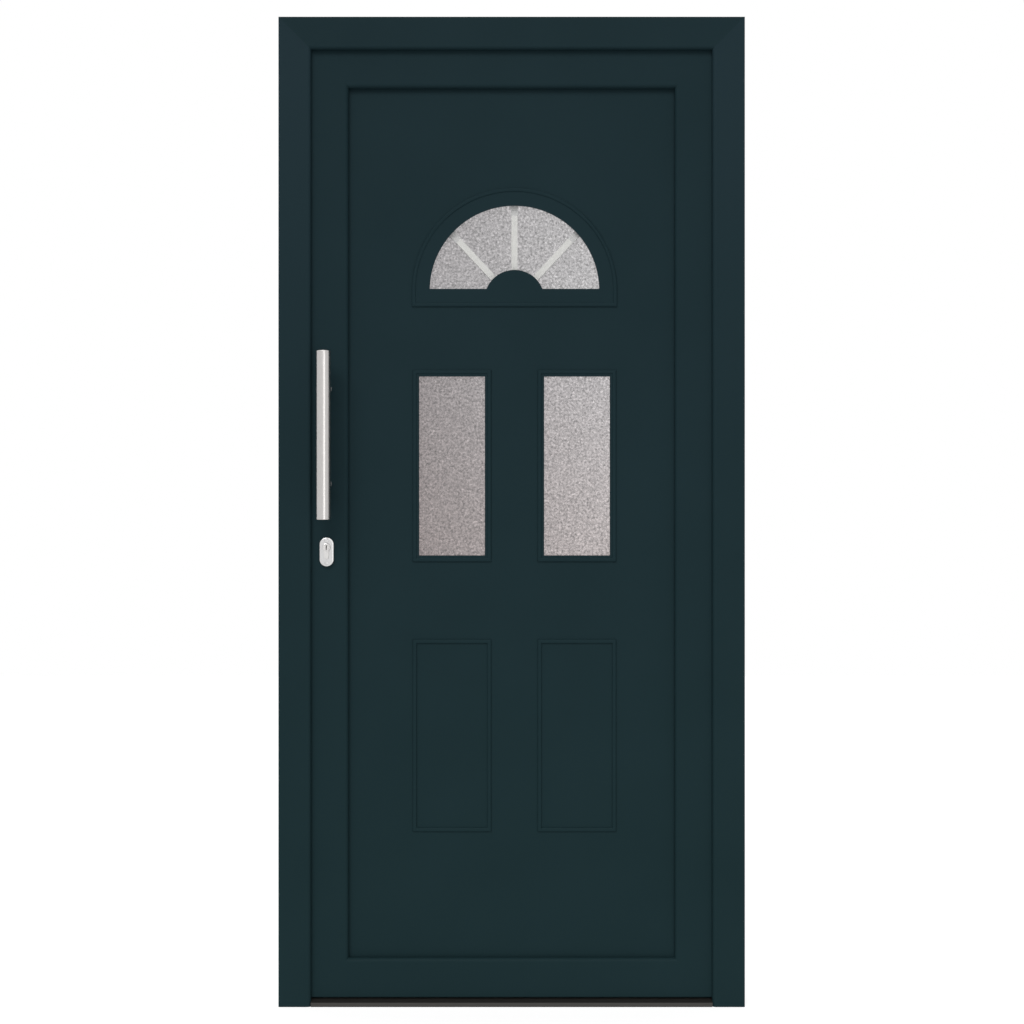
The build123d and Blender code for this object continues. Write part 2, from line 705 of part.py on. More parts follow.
def make_panel():
    half = SASH_X - PANEL_EDGE
    sheet = rectangle(-half, half, SASH_LOW + PANEL_EDGE, SASH_TOP - PANEL_EDGE) - cutouts()
    return {
        "panel_outer_skin": slab(sheet, PANEL_Y, PANEL_Y + PANEL_SKIN),
        "panel_core": slab(sheet, PANEL_Y + PANEL_SKIN, PANEL_BACK_Y - PANEL_SKIN),
        "panel_inner_skin": slab(sheet, PANEL_BACK_Y - PANEL_SKIN, PANEL_BACK_Y),
    }


def ring_of(section):
    """One closed ring of a profile round the sash's glazing."""
    sides = sash_sides()
    upright_bar = mitred_bar(section, SASH_TOP - SASH_LOW)
    level_bar = mitred_bar(section, 2 * SASH_X)
    return {
        "left": sides["left"] * upright_bar,
        "right": sides["right"] * upright_bar,
        "top": sides["top"] * level_bar,
        "bottom": sides["bottom"] * level_bar,
    }


def make_glazing():
    """The gaskets that hold the panel, and the beads on the room side."""
    x1 = GLAZING_EDGE - PROFILE_ROUND
    x0 = x1 - PANEL_GASKET_WIDTH
    pieces = {}
    for name, y0 in (("outer", GLAZING_Y), ("inner", PANEL_BACK_Y)):
        ring = ring_of(rectangle(x0, x1, y0, y0 + PANEL_GASKET))
        pieces["panel_gasket_" + name] = ring["left"] + ring["right"] + ring["top"] + ring["bottom"]
    corners = [
        (SASH_BODY, GLAZING_BEAD_Y),
        (GLAZING_EDGE, GLAZING_BEAD_Y),
        (SASH_FACE, SASH_BACK_Y),
        (SASH_BODY, SASH_BACK_Y),
    ]
    bead = make_face(Polyline(*corners, close=True))
    inner = SASH_BODY + PROFILE_WALL
    bead -= rectangle(
        inner, SASH_FACE - PROFILE_WALL, GLAZING_BEAD_Y + PROFILE_WALL, SASH_BACK_Y - PROFILE_WALL
    )
    for name, bar in ring_of(bead).items():
        pieces["glazing_bead_" + name] = bar
    return pieces


def bead_ring(outer, inner):
    """A half-round raised bead between two outlines, on the panel's street face."""
    front = PANEL_Y - BEAD_HEIGHT
    ring = slab(outer - inner, front, PANEL_Y)
    return fillet(front_edges(ring, front), BEAD_ROUND)


def fan_moulding(ring):
    """The fan's moulding: an outer bead, a flat ring as wide as asked, and a hub."""
    hub = Pos(ORNAMENT_X, HUB_Z) * Circle(HUB_RADIUS)
    field = fan_outline(BEAD_WIDTH / 2)
    flat = slab(field - (fan_outline(ring) - hub), PANEL_Y - FAN_FLAT, PANEL_Y)
    return bead_ring(fan_outline(0), fan_outline(BEAD_WIDTH)) + flat


def window_moulding(x, ring):
    """A window's moulding: a bead, and a lip on the glass inside it."""
    lip = slab(
        window_outline(x, BEAD_WIDTH / 2) - window_outline(x, ring), PANEL_Y - LIP_HEIGHT, PANEL_Y
    )
    return bead_ring(window_outline(x, 0), window_outline(x, BEAD_WIDTH)) + lip


def cassette_moulding(x):
    return bead_ring(cassette_outline(x, 0), cassette_outline(x, BEAD_WIDTH))


def to_room_side(solid):
    """The same piece on the panel's other face."""
    return mirror(solid, about=Plane((0, (PANEL_Y + PANEL_BACK_Y) / 2, 0), z_dir=TO_ROOM))


def make_mouldings():
    """The mouldings on both faces. Those on the room side have larger openings, which stay out of sight."""
    cassettes = [cassette_moulding(x) for x in COLUMNS]
    return {
        "fan_moulding_outer": fan_moulding(FAN_RING),
        "fan_moulding_inner": to_room_side(fan_moulding(FAN_ROOM_RING)),
        "window_mouldings_outer": [window_moulding(x, WINDOW_RING) for x in COLUMNS],
        "window_mouldings_inner": [to_room_side(window_moulding(x, WINDOW_ROOM_RING)) for x in COLUMNS],
        "cassette_mouldings_outer": cassettes,
        "cassette_mouldings_inner": [to_room_side(moulding) for moulding in cassettes],
    }


def glass_unit(outline, inset):
    """Two panes with a spacer between them, flush with the panel's faces."""
    pane = outline(inset)
    cavity = PANEL_Y + PANE
    cavity_end = PANEL_BACK_Y - PANE
    return {
        "outer": slab(pane, PANEL_Y, cavity),
        "inner": slab(pane, cavity_end, PANEL_BACK_Y),
        "spacer": slab(pane - outline(inset + SPACER_WIDTH), cavity, cavity_end),
    }


def make_glass():
    fan = glass_unit(fan_outline, FAN_RING - FAN_GLASS_LAP)
    windows = [
        glass_unit(lambda inset, x=x: window_outline(x, inset), WINDOW_RING - WINDOW_GLASS_LAP)
        for x in COLUMNS
    ]
    pieces = {
        "fan_pane_outer": fan["outer"],
        "fan_pane_inner": fan["inner"],
        "fan_spacer": fan["spacer"],
        "window_panes_outer": [unit["outer"] for unit in windows],
        "window_panes_inner": [unit["inner"] for unit in windows],
        "window_spacers": [unit["spacer"] for unit in windows],
    }
    pieces.update(fan_bars())
    return pieces


def fan_bars():
    """Three glazing bars in the fan's cavity, held by clips at the spacer."""
    inside = fan_outline(FAN_RING - FAN_GLASS_LAP + SPACER_WIDTH)
    bar_end = Pos(ORNAMENT_X, FAN_Z) * Circle(FAN_RADIUS - FAN_RING - BAR_END_GAP)
    hub = Pos(ORNAMENT_X, HUB_Z) * Circle(BAR_HUB_RADIUS)
    clips = Sketch()
    bars = hub
    for angle in (-BAR_ANGLE, 0, BAR_ANGLE):
        place = Pos(ORNAMENT_X, HUB_Z) * Rot(0, 0, angle)
        bars += place * rectangle(-BAR_WIDTH / 2, BAR_WIDTH / 2, 0, FAN_RADIUS) & bar_end
        clips += place * rectangle(-CLIP_WIDTH / 2, CLIP_WIDTH / 2, 0, FAN_RADIUS) - bar_end
    middle = (PANEL_Y + PANEL_BACK_Y) / 2
    front = middle - BAR_DEPTH / 2
    back = middle + BAR_DEPTH / 2
    return {
        "fan_glazing_bars": slab(bars & inside, front, back),
        "fan_bar_clips": slab(clips & inside, front, back).solids(),
    }


# Pull bar

def make_pull_bar():
    """A round tube on two posts, with end caps, and studs into the sash's steel."""
    y = SASH_Y - PULL_BAR_STANDOFF
    low = PULL_BAR_Z - PULL_BAR_LENGTH / 2
    high = PULL_BAR_Z + PULL_BAR_LENGTH / 2
    bore = PULL_BAR_RADIUS - PULL_BAR_WALL
    bar = upright(PULL_BAR_RADIUS, LOCK_AXIS_X, y, low + CAP_THICKNESS, high - CAP_THICKNESS)
    for z in post_heights():
        bar += rod(POST_RADIUS, LOCK_AXIS_X, z, y, SASH_Y)
    bar -= upright(bore, LOCK_AXIS_X, y, low, high)
    studs = []
    for z in post_heights():
        bar -= rod(STUD_RADIUS + TURN_CLEARANCE, LOCK_AXIS_X, z, SASH_Y - STUD_GRIP, SASH_Y + OVERRUN)
        studs.append(rod(STUD_RADIUS, LOCK_AXIS_X, z, SASH_Y - STUD_GRIP, SASH_Y + STUD_BITE))
    cap = upright(PULL_BAR_RADIUS, LOCK_AXIS_X, y, high - CAP_THICKNESS, high)
    cap = fillet(cap.edges().group_by(Axis.Z)[-1], CAP_ROUND)
    cap += upright(bore - TURN_CLEARANCE, LOCK_AXIS_X, y, high - CAP_THICKNESS - CAP_PLUG, high - CAP_ROUND)
    under = mirror(cap, about=Plane((0, 0, PULL_BAR_Z), z_dir=TO_TOP))
    return {"pull_bar": bar, "pull_bar_caps": [cap, under], "pull_bar_studs": studs}


# Lock

def screw_recess(x, z, y):
    """A countersink for a screw's head."""
    cone = Cone(SCREW_SHANK_RADIUS, SCREW_HEAD_RADIUS, SCREW_HEAD_DEPTH, align=ALIGN_TOP)
    return facade(y) * Pos(x, z) * cone


def upright_oval(z, height, width):
    """An oval with straight sides, upright on the lock's line."""
    return Pos(LOCK_AXIS_X, z) * Rot(0, 0, QUARTER_TURN) * SlotOverall(height, width)


def make_escutcheon():
    front = SASH_Y - ESCUTCHEON_THICKNESS
    z = LOCK_Z - ESCUTCHEON_DROP
    plate = slab(upright_oval(z, ESCUTCHEON_HEIGHT, ESCUTCHEON_WIDTH), front, SASH_Y)
    plate = fillet(front_edges(plate, front), ESCUTCHEON_ROUND)
    plate -= slab(cylinder_profile(SLIDE_CLEARANCE), front - OVERRUN, SASH_Y + OVERRUN)
    for step in (-ESCUTCHEON_SCREW_SPACING / 2, ESCUTCHEON_SCREW_SPACING / 2):
        plate -= screw_recess(LOCK_AXIS_X, z + step, front)
    return plate


def make_cylinder():
    """A profile cylinder with a cam slot, and the plug with its cam and keyways."""
    front = SASH_Y - ESCUTCHEON_THICKNESS - CYLINDER_PROUD
    back = SASH_BACK_Y + LEVER_PLATE_THICKNESS + CYLINDER_PROUD
    half = CAM_DEPTH / 2
    body = slab(cylinder_profile(0), front, back)
    body -= rod(PLUG_RADIUS + TURN_CLEARANCE, LOCK_AXIS_X, LOCK_Z, front - OVERRUN, back + OVERRUN)
    slot = half + SLIDE_CLEARANCE
    body -= rod(CAM_RADIUS + SLIDE_CLEARANCE, LOCK_AXIS_X, LOCK_Z, LOCK_Y - slot, LOCK_Y + slot)
    plug = rod(PLUG_RADIUS, LOCK_AXIS_X, LOCK_Z, front, back)
    cam = Circle(CYLINDER_RADIUS) + rectangle(-CAM_WIDTH / 2, CAM_WIDTH / 2, -CAM_RADIUS, 0)
    cam &= Circle(CAM_RADIUS)
    plug += slab(Pos(LOCK_AXIS_X, LOCK_Z) * cam, LOCK_Y - half, LOCK_Y + half)
    keyway = rectangle(
        LOCK_AXIS_X - KEYWAY_WIDTH / 2,
        LOCK_AXIS_X + KEYWAY_WIDTH / 2,
        LOCK_Z - KEYWAY_HEIGHT / 2,
        LOCK_Z + KEYWAY_HEIGHT / 2,
    )
    plug -= slab(keyway, front - OVERRUN, front + KEYWAY_DEPTH)
    plug -= slab(keyway, back - KEYWAY_DEPTH, back + OVERRUN)
    return {"lock_cylinder": body, "cylinder_plug": plug}


def make_bolts():
    """The latch with its slanted nose, and the square deadbolt."""
    half = BOLT_THICKNESS / 2
    y0 = LOCK_Y - half
    y1 = LOCK_Y + half
    nose = LOCK_EDGE_X - LATCH_OUT
    tail = LOCK_EDGE_X + LATCH_TAIL
    slant = [
        (nose, y1),
        (tail, y1),
        (tail, y0),
        (nose + LATCH_SLANT, y0),
        (nose, y1 - LATCH_TIP),
    ]
    low = LATCH_Z - LATCH_HEIGHT / 2
    latch = extrude(Pos(0, 0, low) * make_face(Polyline(*slant, close=True)), amount=LATCH_HEIGHT)
    bolt_x = LOCK_EDGE_X + SLIDE_CLEARANCE
    bolt_z = DEADBOLT_Z - DEADBOLT_HEIGHT / 2
    deadbolt = block(
        bolt_x, bolt_x + DEADBOLT_LENGTH, y0, y1, bolt_z, bolt_z + DEADBOLT_HEIGHT
    )
    deadbolt = chamfer(deadbolt.faces().sort_by(Axis.X)[0].edges(), BOLT_CHAMFER)
    return {"latch_bolt": latch, "deadbolt": deadbolt}


def bolt_window(z, height):
    """The opening that a bolt passes in the faceplate and the lock case."""
    half = BOLT_THICKNESS / 2 + SLIDE_CLEARANCE
    tall = height / 2 + SLIDE_CLEARANCE
    x0 = LOCK_EDGE_X - OVERRUN
    x1 = LOCK_EDGE_X + FACEPLATE_THICKNESS + CASE_WALL + SLIDE_CLEARANCE
    return block(x0, x1, LOCK_Y - half, LOCK_Y + half, z - tall, z + tall)


def make_lock_case():
    """A flat steel housing with room inside for the bolts and the cam."""
    x0 = LOCK_EDGE_X + FACEPLATE_THICKNESS
    half = CASE_THICKNESS / 2
    inner = half - CASE_WALL
    case = block(x0, CASE_END_X, LOCK_Y - half, LOCK_Y + half, CASE_BOTTOM, CASE_TOP)
    case -= block(
        x0 + CASE_WALL,
        CASE_END_X - CASE_WALL,
        LOCK_Y - inner,
        LOCK_Y + inner,
        CASE_BOTTOM + CASE_WALL,
        CASE_TOP - CASE_WALL,
    )
    case -= slab(cylinder_profile(SLIDE_CLEARANCE), LOCK_Y - half - OVERRUN, LOCK_Y + half + OVERRUN)
    case -= rod(SPINDLE_HOLE_RADIUS, LOCK_AXIS_X, LEVER_Z, LOCK_Y - half - OVERRUN, LOCK_Y + half + OVERRUN)
    case -= bolt_window(LATCH_Z, LATCH_HEIGHT)
    case -= bolt_window(DEADBOLT_Z, DEADBOLT_HEIGHT)
    return case


def hook_window(z):
    """The slot that a hook swings through."""
    half = HOOK_THICKNESS / 2 + POCKET_CLEARANCE
    x0 = LOCK_EDGE_X - OVERRUN
    x1 = LOCK_EDGE_X + FACEPLATE_THICKNESS + OVERRUN
    z1 = z + HOOK_REACH + POCKET_CLEARANCE
    return block(x0, x1, LOCK_Y - half, LOCK_Y + half, z - HOOK_WIDTH / 2 - POCKET_CLEARANCE, z1)


def make_faceplate():
    low, high = faceplate_span()
    half = FACEPLATE_WIDTH / 2
    x1 = LOCK_EDGE_X + FACEPLATE_THICKNESS
    plate = block(LOCK_EDGE_X, x1, LOCK_Y - half, LOCK_Y + half, low, high)
    plate = fillet(plate.edges().filter_by(Axis.X), half * FACEPLATE_ROUND_SHARE)
    plate -= bolt_window(LATCH_Z, LATCH_HEIGHT)
    plate -= bolt_window(DEADBOLT_Z, DEADBOLT_HEIGHT)
    for z in HOOK_HEIGHTS.values():
        plate -= hook_window(z)
    return plate


def make_hook(z):
    """A hook that stands upright in its box and swings out through the faceplate."""
    x = LOCK_EDGE_X + HOOK_PIVOT
    half = HOOK_WIDTH / 2
    arm = Pos(x, z) * Circle(half)
    arm += rectangle(x - half, x + half, z, z + HOOK_REACH)
    arm += rectangle(x - half, x + half + HOOK_CLAW, z + HOOK_REACH - half, z + HOOK_REACH)
    arm &= Pos(x, z) * Circle(HOOK_REACH)
    arm -= Pos(x, z) * Circle(HOOK_PIN_RADIUS + TURN_CLEARANCE)
    return slab(arm, LOCK_Y - HOOK_THICKNESS / 2, LOCK_Y + HOOK_THICKNESS / 2)


def make_hook_box(z):
    """A steel box behind the faceplate, open to it, with the hook's pivot pin."""
    x0 = LOCK_EDGE_X + FACEPLATE_THICKNESS
    x1 = x0 + HOOK_BOX_DEPTH
    half = CASE_THICKNESS / 2
    inner = half - CASE_WALL
    z0, z1 = hook_box_span(z)
    box = block(x0, x1, LOCK_Y - half, LOCK_Y + half, z0, z1)
    box -= block(
        x0 - OVERRUN, x1 - CASE_WALL, LOCK_Y - inner, LOCK_Y + inner, z0 + CASE_WALL, z1 - CASE_WALL
    )
    return box + rod(HOOK_PIN_RADIUS, LOCK_EDGE_X + HOOK_PIVOT, z, LOCK_Y - inner, LOCK_Y + inner)


def make_drive_rails():
    """Flat rails behind the faceplate that carry the key's turn to the hooks."""
    x0 = LOCK_EDGE_X + FACEPLATE_THICKNESS + SLIDE_CLEARANCE
    half = RAIL_WIDTH / 2
    low, high = rail_room()
    spans = (
        (low + POCKET_CLEARANCE, CASE_BOTTOM - RAIL_TRAVEL - POCKET_CLEARANCE),
        (CASE_TOP + POCKET_CLEARANCE, high - RAIL_TRAVEL - POCKET_CLEARANCE),
    )
    return [
        block(x0, x0 + RAIL_THICKNESS, LOCK_Y - half, LOCK_Y + half, z0, z1) for z0, z1 in spans
    ]


def make_lever():
    """A round L-shaped lever on the room side, its square spindle and its narrow plate."""
    plate_y = SASH_BACK_Y + LEVER_PLATE_THICKNESS
    z = (LOCK_Z + LEVER_Z) / 2
    plate = slab(upright_oval(z, LEVER_PLATE_HEIGHT, LEVER_PLATE_WIDTH), SASH_BACK_Y, plate_y)
    plate = fillet(front_edges(plate, plate_y), LEVER_PLATE_ROUND)
    plate -= slab(cylinder_profile(SLIDE_CLEARANCE), SASH_BACK_Y - OVERRUN, plate_y + OVERRUN)
    hole = LEVER_RADIUS + SLIDE_CLEARANCE
    plate -= rod(hole, LOCK_AXIS_X, LEVER_Z, SASH_BACK_Y - OVERRUN, plate_y + OVERRUN)
    root = Vector(LOCK_AXIS_X, SASH_BACK_Y + LEVER_ROOT, LEVER_Z)
    corner = Vector(LOCK_AXIS_X, SASH_BACK_Y + LEVER_STANDOFF, LEVER_Z)
    tip = corner + TO_RIGHT * LEVER_LENGTH
    path = FilletPolyline(root, corner, tip, radius=LEVER_BEND)
    lever = sweep(Plane(root, x_dir=TO_RIGHT, z_dir=TO_ROOM) * Circle(LEVER_RADIUS), path=path)
    lever = fillet(lever.edges().group_by(Axis.X)[-1], LEVER_TIP_ROUND)
    half = SPINDLE_SIDE / 2
    gap = half + TURN_CLEARANCE
    socket_end = root.Y + SPINDLE_SOCKET
    x = LOCK_AXIS_X
    lever -= block(x - gap, x + gap, root.Y - OVERRUN, socket_end, LEVER_Z - gap, LEVER_Z + gap)
    inner = LOCK_Y - CASE_THICKNESS / 2 + CASE_WALL
    spindle = block(x - half, x + half, inner, socket_end, LEVER_Z - half, LEVER_Z + half)
    return {"lever_plate": plate, "lever_handle": lever, "lever_spindle": spindle}


def make_lock():
    pieces = {
        "escutcheon": make_escutcheon(),
        "lock_case": make_lock_case(),
        "lock_faceplate": make_faceplate(),
        "hook_boxes": [make_hook_box(z) for z in HOOK_HEIGHTS.values()],
        "drive_rails": make_drive_rails(),
    }
    for name, z in HOOK_HEIGHTS.items():
        pieces["hook_" + name] = make_hook(z)
    pieces.update(make_cylinder())
    pieces.update(make_bolts())
    pieces.update(make_lever())
    return pieces


# Hinges

def make_hinge(z):
    """One hinge: the frame's leaf with the middle knuckle, the sash's leaf with two, and the pin."""
    low = z - HINGE_HEIGHT / 2
    high = z + HINGE_HEIGHT / 2
    knuckle_low = z - FRAME_KNUCKLE / 2
    knuckle_high = z + FRAME_KNUCKLE / 2
    frame_leaf = block(
        HINGE_X - KNUCKLE_RADIUS,
        HALF_WIDTH - FRAME_LEAF_EDGE,
        FRAME_BACK_Y,
        FRAME_BACK_Y + LEAF_THICKNESS,
        low,
        high,
    )
    frame_leaf = fillet(frame_leaf.edges().filter_by(Axis.Y), LEAF_ROUND)
    neck = KNUCKLE_RADIUS * NECK_SHARE
    frame_leaf += block(HINGE_X - neck, HINGE_X + neck, FRAME_BACK_Y, HINGE_Y, knuckle_low, knuckle_high)
    frame_leaf += upright(KNUCKLE_RADIUS, HINGE_X, HINGE_Y, knuckle_low, knuckle_high)
    frame_leaf -= upright(HINGE_PIN_RADIUS + TURN_CLEARANCE, HINGE_X, HINGE_Y, low, high)
    leaf_x = REBATE_X + OVERLAP_LAP - LEAF_SETBACK
    sash_leaf = block(
        leaf_x - SASH_LEAF_WIDTH, leaf_x, SASH_BACK_Y, SASH_BACK_Y + LEAF_THICKNESS, low, high
    )
    sash_leaf = fillet(sash_leaf.edges().filter_by(Axis.Y), LEAF_ROUND)
    for z0, z1 in ((low, knuckle_low - KNUCKLE_GAP), (knuckle_high + KNUCKLE_GAP, high)):
        sash_leaf += block(leaf_x - HINGE_ARM, HINGE_X, SASH_BACK_Y, HINGE_Y + neck, z0, z1)
        sash_leaf += upright(KNUCKLE_RADIUS, HINGE_X, HINGE_Y, z0, z1)
    sash_leaf -= upright(HINGE_PIN_RADIUS + TURN_CLEARANCE, HINGE_X, HINGE_Y, low, high)
    pin = upright(HINGE_PIN_RADIUS, HINGE_X, HINGE_Y, low, high)
    cap_low = high + KNUCKLE_GAP
    pin += upright(HINGE_PIN_RADIUS, HINGE_X, HINGE_Y, high, cap_low)
    cap = upright(KNUCKLE_RADIUS, HINGE_X, HINGE_Y, cap_low, cap_low + HINGE_CAP_HEIGHT)
    pin += fillet(cap.edges().group_by(Axis.Z)[-1], HINGE_CAP_HEIGHT * NECK_SHARE)
    return frame_leaf, sash_leaf, pin


def make_hinges():
    hinges = [make_hinge(z) for z in HINGE_HEIGHTS]
    frame_leaves, sash_leaves, pins = zip(*hinges)
    return {
        "hinge_frame_leaves": frame_leaves,
        "hinge_sash_leaves": sash_leaves,
        "hinge_pins": pins,
    }


def save(name, shape):
    """Write one piece, or a group of like pieces, as the file of its name."""
    if isinstance(shape, (list, tuple)):
        solids = [solid for piece in shape for solid in piece.solids()]
    else:
        solids = shape.solids()
    whole = solids[0] if len(solids) == 1 else Compound(children=solids)
    export_step(whole, os.path.join("parts", name + ".step"))


def main():
    os.makedirs("parts", exist_ok=True)
    makers = (
        make_frame,
        make_threshold,
        make_strikes,
        make_sash,
        make_panel,
        make_glazing,
        make_mouldings,
        make_glass,
        make_pull_bar,
        make_lock,
        make_hinges,
    )
    for maker in makers:
        for name, shape in maker().items():
            save(name, shape)


main()
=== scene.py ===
import json
import math

import bmesh
import bpy
from mathutils import Matrix, Vector


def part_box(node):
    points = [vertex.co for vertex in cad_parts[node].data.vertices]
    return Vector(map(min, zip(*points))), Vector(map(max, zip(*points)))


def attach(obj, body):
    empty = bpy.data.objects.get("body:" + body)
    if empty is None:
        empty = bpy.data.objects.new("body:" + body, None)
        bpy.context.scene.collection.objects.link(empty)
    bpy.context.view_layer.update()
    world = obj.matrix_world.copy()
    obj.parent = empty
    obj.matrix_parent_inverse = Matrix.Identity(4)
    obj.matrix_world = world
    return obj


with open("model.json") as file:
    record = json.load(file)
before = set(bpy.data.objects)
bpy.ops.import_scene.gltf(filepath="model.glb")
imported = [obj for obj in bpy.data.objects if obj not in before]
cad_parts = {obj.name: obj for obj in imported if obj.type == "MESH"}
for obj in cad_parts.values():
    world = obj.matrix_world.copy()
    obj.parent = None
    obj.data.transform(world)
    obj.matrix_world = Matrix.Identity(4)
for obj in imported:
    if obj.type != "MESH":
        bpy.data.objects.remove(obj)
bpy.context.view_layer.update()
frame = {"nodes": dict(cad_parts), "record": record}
NODES = frame["nodes"]

# Places and lengths are in metres, and colours are linear.

# Camera, straight in front of the door at half its height
CAMERA_PLACE = (0.00074, -3.035, 1.0395)
CAMERA_TURN = (math.radians(90), 0, 0)
CAMERA_LENS = 50.235
CAMERA_REACH = 100
SENSOR_WIDTH = 36.0

# Suns: the way the light goes, its strength, and the width of the sun, which softens its shadows
SUNS = {
    "key": ((0.6, 1.0, -1.05), 0.58, math.radians(20)),
    "top": ((0.1, 1.0, -1.0), 0.58, math.radians(25)),
    "fill": ((0.1, 1.0, -0.75), 0.58, math.radians(40)),
}

# A broad upright strip on the right, whose light is the highlight on the pull bar
STRIP_PLACE = (0.75, -3.6, 1.2)
STRIP_AIM = (-0.39, -0.07, 1.2)
STRIP_WIDTH = 1.2
STRIP_HEIGHT = 2.4
STRIP_POWER = 14.0

# A dome of light, paler on the room side
DOME_FRONT = 0.3
DOME_BACK = 0.85
DOME_BLEND = 0.5

# Floor: white where it is seen, apart from a faint shadow, and it throws some light up at the door
FLOOR_REACH = 6.0
FLOOR_GLOW = 0.82
FLOOR_BOUNCE = 0.52
FLOOR_COLOUR = (0.28, 0.28, 0.28, 1)

# Colours of the foil, a painted light that tints it greener towards the door's foot, and a painted
# sheen that makes the jambs paler near their top
WHITE = (1, 1, 1, 1)
FOIL_TONES = ((0.0097, 0.0234, 0.0282, 1), (0.0107, 0.0252, 0.0304, 1))
FOIL_PAINTED_SHEEN = (0.0132, 0.0282, 0.0350, 1)
FOIL_FOOT_PAINTED_LIGHT = (0.975, 1.035, 0.985, 1)
FOIL_GLOSS = 0.045
FOOT_PAINTED_LIGHT_HEIGHTS = (0.3, 1.3)
PAINTED_SHEEN_HEIGHTS = (1.2, 1.95)

# Colours of the panes: inner ones on the left and on the right, with painted shade that makes the left
# darker, and painted shade that darkens and warms their foot
FAN_TONES_AND_SHADE = ((0.338, 0.319, 0.325, 1), (0.464, 0.451, 0.457, 1))
WINDOW_TONES_AND_SHADE = ((0.262, 0.233, 0.236, 1), (0.452, 0.429, 0.436, 1))
PANE_FOOT_SHADE = (0.97, 0.91, 0.885, 1)
PANE_SHADE_SIDES = (-0.2, 0.2)
PANE_SHADE_HEIGHTS = (0.95, 1.35)
CLEAR_PANE = (0.75, 0.78, 0.78, 1)

# Colours of the other surfaces, dark and light
RUBBER_TONES = ((0.012, 0.021, 0.024, 1), (0.016, 0.028, 0.032, 1))
BLACK_TONES = ((0.012, 0.012, 0.013, 1), (0.02, 0.02, 0.021, 1))
FOAM_TONES = ((0.45, 0.42, 0.33, 1), (0.6, 0.57, 0.47, 1))
OFF_WHITE_TONES = ((0.64, 0.633, 0.61, 1), (0.71, 0.703, 0.68, 1))
CLIP_TONES = ((0.5, 0.495, 0.49, 1), (0.58, 0.575, 0.57, 1))
ZINC_TONES = ((0.36, 0.37, 0.38, 1), (0.55, 0.56, 0.57, 1))
THRESHOLD_TONES = ((0.038, 0.037, 0.034, 1), (0.06, 0.058, 0.054, 1))
SPACER_TONES = ((0.4, 0.4, 0.41, 1), (0.55, 0.55, 0.56, 1))
STEEL_TONES = ((0.5, 0.483, 0.473, 1), (0.54, 0.523, 0.513, 1))
BRIGHT_TONES = ((0.59, 0.586, 0.586, 1), (0.63, 0.626, 0.626, 1))
NICKEL_TONES = ((0.6, 0.59, 0.58, 1), (0.7, 0.69, 0.68, 1))

# Metal: how much finer the brushing is across than along, how far its roughness varies,
# the size of a zinc flake in its cell, and how much duller the pull bar's posts are, from where
BRUSH_FINENESS = 60.0
BRUSH_VARIATION = 0.03
FLAKE_SIZE = 0.8
POST_DULLNESS = 0.3
POST_DEPTHS = (-0.066, -0.06)

# Small turned pieces. A ring is its reach, its lobes and its height, in shares of the piece's radius.
SEGMENTS = 48
LOBES = 6
SCREW_RINGS = (
    (0.9, 0, -0.3),
    (1.0, 0, 0.0),
    (0.94, 0, 0.08),
    (0.62, 0, 0.12),
    (0.46, 0.07, 0.12),
    (0.42, 0.07, -0.22),
)
COLLAR_RINGS = (
    (1.0, 0, -0.2),
    (1.0, 0, 0.08),
    (0.96, 0, 0.16),
    (0.88, 0, 0.2),
    (0.74, 0, 0.2),
    (0.68, 0, 0.14),
    (0.66, 0, -0.2),
)
COLLAR_RADIUS = 0.0084
SCREW_RADII = {
    "escutcheon_screws": 0.0036,
    "lever_plate_screws": 0.0035,
    "strike_screws": 0.0032,
    "faceplate_screws": 0.0032,
    "hinge_frame_screws": 0.0036,
    "hinge_sash_screws": 0.004,
}

# Where the small pieces face and stand
TO_STREET = (0, -1, 0)
TO_ROOM = (0, 1, 0)
TO_HINGES = (1, 0, 0)
TO_LOCK_JAMB = (-1, 0, 0)
LOCK_AXIS_X = -0.3895
LOCK_Y = 0.024
LOCK_Z = 0.965
ESCUTCHEON_SCREW_STEP = 0.0235
LEVER_SCREW_INSET = 0.014
STRIKE_SCREW_INSET = 0.01
FACEPLATE_SCREW_HEIGHTS = (0.095, 0.38, 0.66, 0.93, 1.1, 1.38, 1.64, 1.94)
HINGE_HEIGHTS = (0.23, 1.04, 1.85)
HINGE_SCREW_STEP = 0.03
FRAME_LEAF_X = 0.48
FRAME_LEAF_Y = 0.04
SASH_LEAF_X = 0.423
SASH_LEAF_Y = 0.053


def set_inputs(tree, node, inputs):
    """Each named input of a node gets a value, or a link from a socket."""
    for key, value in inputs.items():
        if isinstance(value, bpy.types.NodeSocket):
            tree.links.new(value, node.inputs[key])
        else:
            node.inputs[key].default_value = value


def add_node(tree, kind, inputs=None, **settings):
    node = tree.nodes.new(kind)
    for key, value in settings.items():
        setattr(node, key, value)
    set_inputs(tree, node, inputs or {})
    return node


def add_object(name, data):
    made = bpy.data.objects.new(name, data)
    bpy.context.scene.collection.objects.link(made)
    return made


